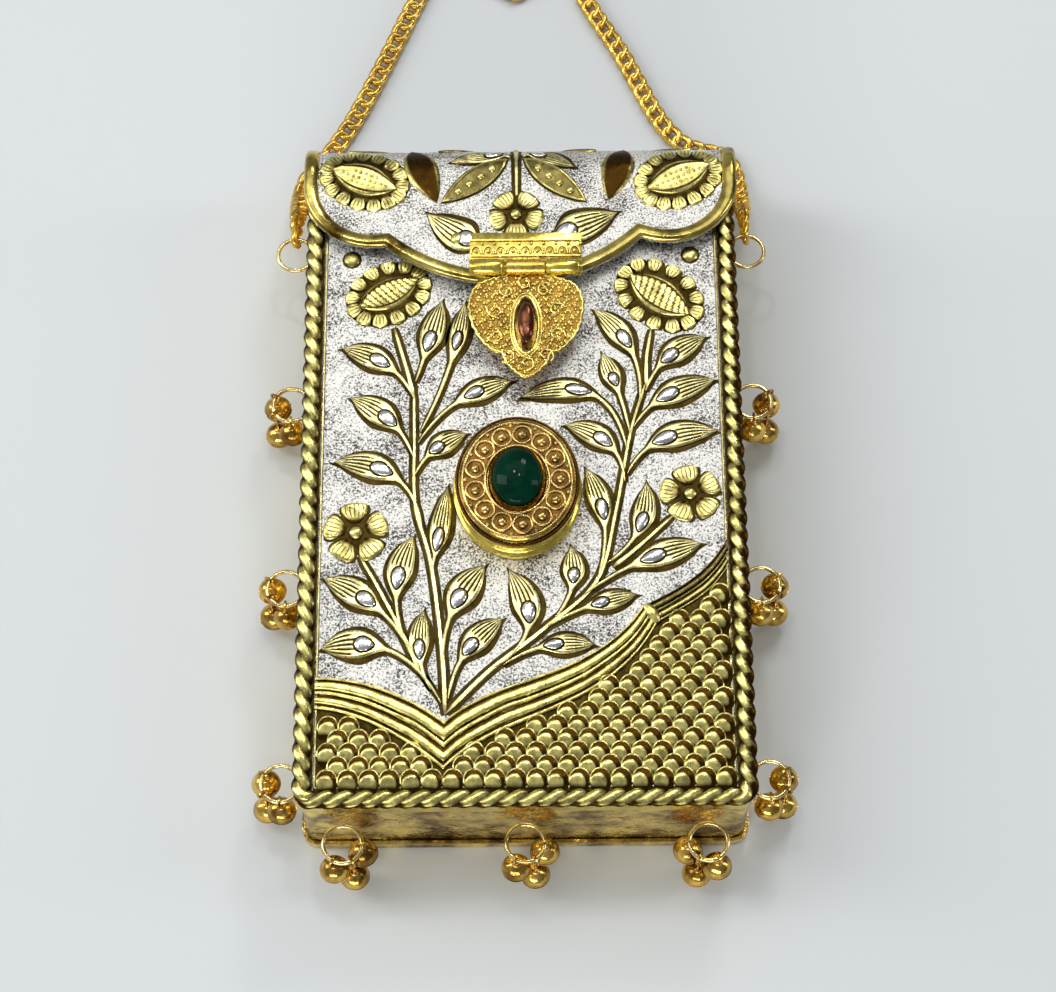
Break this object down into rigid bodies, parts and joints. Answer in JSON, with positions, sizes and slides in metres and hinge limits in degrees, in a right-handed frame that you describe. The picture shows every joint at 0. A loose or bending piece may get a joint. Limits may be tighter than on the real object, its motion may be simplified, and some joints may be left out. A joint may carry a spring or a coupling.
{
  "type": "metal clutch bag",
  "caption": "Box-shaped embossed metal clutch bag with a hinged scalloped flap, slotted hasp over a turn knob, jingle bells on rings and a chain.",
  "frame": {"origin": "centre of the back panel's outer face, on which the bag lies", "axes": "+Z out of the decorated front, +Y up the bag to the flap and chain, +X to the right seen from the front"},
  "size_m": [0.1338, 0.285, 0.0447],
  "materials": {
    "embossed_silver": "stippled and embossed white metal with gilt ornament",
    "yellow_gold": "polished gilt",
    "warm_gold": "aged gilt",
    "dark_bronze": "dark brown bronze",
    "lining_velvet": "velvet",
    "green_stone": "polished"
  },
  "bodies": {
    "body": {"front_panel": "embossed_silver", "back_panel": "yellow_gold", "side_band": "yellow_gold", "rope_border": "yellow_gold", "lining": "lining_velvet", "medallion": "warm_gold", "cabochon": "green_stone", "knob_plate": "warm_gold", "back_hinge_leaf": "yellow_gold", "back_hinge_pin": "yellow_gold", "chain_ring_left": "warm_gold", "chain_ring_right": "warm_gold", "chain_strap": "warm_gold", "ring_left_low": "warm_gold", "ring_left_mid": "warm_gold", "ring_left_high": "warm_gold", "ring_right_low": "warm_gold", "ring_right_mid": "warm_gold", "ring_right_high": "warm_gold", "ring_bottom_left": "warm_gold", "ring_bottom_mid": "warm_gold", "ring_bottom_right": "warm_gold"},
    "flap": {"flap": "embossed_silver", "flap_rim_left": "yellow_gold", "flap_rim_right": "yellow_gold", "flap_hinge_leaf": "yellow_gold", "hasp_hinge_leaf": "yellow_gold", "hasp_pin": "yellow_gold"},
    "hasp": {"hasp": "warm_gold"},
    "knob": {"turn_knob": "dark_bronze"},
    "bell_left_low_1": {"bell_left_low_1": "warm_gold"},
    "bell_left_low_2": {"bell_left_low_2": "warm_gold"},
    "bell_left_low_3": {"bell_left_low_3": "warm_gold"},
    "bell_left_mid_1": {"bell_left_mid_1": "warm_gold"},
    "bell_left_mid_2": {"bell_left_mid_2": "warm_gold"},
    "bell_left_mid_3": {"bell_left_mid_3": "warm_gold"},
    "bell_left_high_1": {"bell_left_high_1": "warm_gold"},
    "bell_left_high_2": {"bell_left_high_2": "warm_gold"},
    "bell_left_high_3": {"bell_left_high_3": "warm_gold"},
    "bell_right_low_1": {"bell_right_low_1": "warm_gold"},
    "bell_right_low_2": {"bell_right_low_2": "warm_gold"},
    "bell_right_low_3": {"bell_right_low_3": "warm_gold"},
    "bell_right_mid_1": {"bell_right_mid_1": "warm_gold"},
    "bell_right_mid_2": {"bell_right_mid_2": "warm_gold"},
    "bell_right_mid_3": {"bell_right_mid_3": "warm_gold"},
    "bell_right_high_1": {"bell_right_high_1": "warm_gold"},
    "bell_right_high_2": {"bell_right_high_2": "warm_gold"},
    "bell_right_high_3": {"bell_right_high_3": "warm_gold"},
    "bell_bottom_left_1": {"bell_bottom_left_1": "warm_gold"},
    "bell_bottom_left_2": {"bell_bottom_left_2": "warm_gold"},
    "bell_bottom_left_3": {"bell_bottom_left_3": "warm_gold"},
    "bell_bottom_mid_1": {"bell_bottom_mid_1": "warm_gold"},
    "bell_bottom_mid_2": {"bell_bottom_mid_2": "warm_gold"},
    "bell_bottom_mid_3": {"bell_bottom_mid_3": "warm_gold"},
    "bell_bottom_right_1": {"bell_bottom_right_1": "warm_gold"},
    "bell_bottom_right_2": {"bell_bottom_right_2": "warm_gold"},
    "bell_bottom_right_3": {"bell_bottom_right_3": "warm_gold"}
  },
  "joints": [
    {"name": "flap_hinge", "type": "hinge", "parent": "body", "child": "flap", "pos_m": [0, 0.092, 0.0019], "axis": [-1, 0, 0], "range_deg": [0, 75]},
    {"name": "hasp_hinge", "type": "hinge", "parent": "flap", "child": "hasp", "pos_m": [0.0012, 0.0515, 0.038], "axis": [-1, 0, 0], "range_deg": [0, 180]},
    {"name": "knob_turn", "type": "hinge", "parent": "body", "child": "knob", "pos_m": [0.0012, 0.0357, 0.0322], "axis": [0, 0, 1], "range_deg": [0, 90]},
    {"name": "bell_left_low_1_swing", "type": "hinge", "parent": "body", "child": "bell_left_low_1", "pos_m": [-0.05945, -0.08365, 0.0175], "axis": [-1, 0, 0], "range_deg": [-4, 90]},
    {"name": "bell_left_low_2_swing", "type": "hinge", "parent": "body", "child": "bell_left_low_2", "pos_m": [-0.06348, -0.08132, 0.0175], "axis": [-0.5, 0.866, 0], "range_deg": [-4, 90]},
    {"name": "bell_left_low_3_swing", "type": "hinge", "parent": "body", "child": "bell_left_low_3", "pos_m": [-0.06348, -0.07667, 0.0175], "axis": [0.5, 0.866, 0], "range_deg": [-4, 90]},
    {"name": "bell_left_mid_1_swing", "type": "hinge", "parent": "body", "child": "bell_left_mid_1", "pos_m": [-0.05945, -0.03265, 0.0175], "axis": [-1, 0, 0], "range_deg": [-4, 90]},
    {"name": "bell_left_mid_2_swing", "type": "hinge", "parent": "body", "child": "bell_left_mid_2", "pos_m": [-0.06348, -0.03033, 0.0175], "axis": [-0.5, 0.866, 0], "range_deg": [-4, 90]},
    {"name": "bell_left_mid_3_swing", "type": "hinge", "parent": "body", "child": "bell_left_mid_3", "pos_m": [-0.06348, -0.02567, 0.0175], "axis": [0.5, 0.866, 0], "range_deg": [-4, 90]},
    {"name": "bell_left_high_1_swing", "type": "hinge", "parent": "body", "child": "bell_left_high_1", "pos_m": [-0.05945, 0.01835, 0.0175], "axis": [-1, 0, 0], "range_deg": [-4, 90]},
    {"name": "bell_left_high_2_swing", "type": "hinge", "parent": "body", "child": "bell_left_high_2", "pos_m": [-0.06348, 0.02067, 0.0175], "axis": [-0.5, 0.866, 0], "range_deg": [-4, 90]},
    {"name": "bell_left_high_3_swing", "type": "hinge", "parent": "body", "child": "bell_left_high_3", "pos_m": [-0.06348, 0.02533, 0.0175], "axis": [0.5, 0.866, 0], "range_deg": [-4, 90]},
    {"name": "bell_right_low_1_swing", "type": "hinge", "parent": "body", "child": "bell_right_low_1", "pos_m": [0.05945, -0.08365, 0.0175], "axis": [-1, 0, 0], "range_deg": [-4, 90]},
    {"name": "bell_right_low_2_swing", "type": "hinge", "parent": "body", "child": "bell_right_low_2", "pos_m": [0.06348, -0.08132, 0.0175], "axis": [-0.5, -0.866, 0], "range_deg": [-4, 90]},
    {"name": "bell_right_low_3_swing", "type": "hinge", "parent": "body", "child": "bell_right_low_3", "pos_m": [0.06348, -0.07667, 0.0175], "axis": [0.5, -0.866, 0], "range_deg": [-4, 90]},
    {"name": "bell_right_mid_1_swing", "type": "hinge", "parent": "body", "child": "bell_right_mid_1", "pos_m": [0.05945, -0.03265, 0.0175], "axis": [-1, 0, 0], "range_deg": [-4, 90]},
    {"name": "bell_right_mid_2_swing", "type": "hinge", "parent": "body", "child": "bell_right_mid_2", "pos_m": [0.06348, -0.03033, 0.0175], "axis": [-0.5, -0.866, 0], "range_deg": [-4, 90]},
    {"name": "bell_right_mid_3_swing", "type": "hinge", "parent": "body", "child": "bell_right_mid_3", "pos_m": [0.06348, -0.02567, 0.0175], "axis": [0.5, -0.866, 0], "range_deg": [-4, 90]},
    {"name": "bell_right_high_1_swing", "type": "hinge", "parent": "body", "child": "bell_right_high_1", "pos_m": [0.05945, 0.01835, 0.0175], "axis": [-1, 0, 0], "range_deg": [-4, 90]},
    {"name": "bell_right_high_2_swing", "type": "hinge", "parent": "body", "child": "bell_right_high_2", "pos_m": [0.06348, 0.02067, 0.0175], "axis": [-0.5, -0.866, 0], "range_deg": [-4, 90]},
    {"name": "bell_right_high_3_swing", "type": "hinge", "parent": "body", "child": "bell_right_high_3", "pos_m": [0.06348, 0.02533, 0.0175], "axis": [0.5, -0.866, 0], "range_deg": [-4, 90]},
    {"name": "bell_bottom_left_1_swing", "type": "hinge", "parent": "body", "child": "bell_bottom_left_1", "pos_m": [-0.03935, -0.09445, 0.0175], "axis": [0, -1, 0], "range_deg": [-4, 90]},
    {"name": "bell_bottom_left_2_swing", "type": "hinge", "parent": "body", "child": "bell_bottom_left_2", "pos_m": [-0.04167, -0.09848, 0.0175], "axis": [-0.866, -0.5, 0], "range_deg": [-4, 90]},
    {"name": "bell_bottom_left_3_swing", "type": "hinge", "parent": "body", "child": "bell_bottom_left_3", "pos_m": [-0.04632, -0.09848, 0.0175], "axis": [-0.866, 0.5, 0], "range_deg": [-4, 90]},
    {"name": "bell_bottom_mid_1_swing", "type": "hinge", "parent": "body", "child": "bell_bottom_mid_1", "pos_m": [0.00465, -0.09445, 0.0175], "axis": [0, -1, 0], "range_deg": [-4, 90]},
    {"name": "bell_bottom_mid_2_swing", "type": "hinge", "parent": "body", "child": "bell_bottom_mid_2", "pos_m": [0.00232, -0.09848, 0.0175], "axis": [-0.866, -0.5, 0], "range_deg": [-4, 90]},
    {"name": "bell_bottom_mid_3_swing", "type": "hinge", "parent": "body", "child": "bell_bottom_mid_3", "pos_m": [-0.00232, -0.09848, 0.0175], "axis": [-0.866, 0.5, 0], "range_deg": [-4, 90]},
    {"name": "bell_bottom_right_1_swing", "type": "hinge", "parent": "body", "child": "bell_bottom_right_1", "pos_m": [0.03935, -0.09445, 0.0175], "axis": [0, 1, 0], "range_deg": [-4, 90]},
    {"name": "bell_bottom_right_2_swing", "type": "hinge", "parent": "body", "child": "bell_bottom_right_2", "pos_m": [0.04167, -0.09848, 0.0175], "axis": [-0.866, 0.5, 0], "range_deg": [-4, 90]},
    {"name": "bell_bottom_right_3_swing", "type": "hinge", "parent": "body", "child": "bell_bottom_right_3", "pos_m": [0.04632, -0.09848, 0.0175], "axis": [-0.866, -0.5, 0], "range_deg": [-4, 90]}
  ]
}
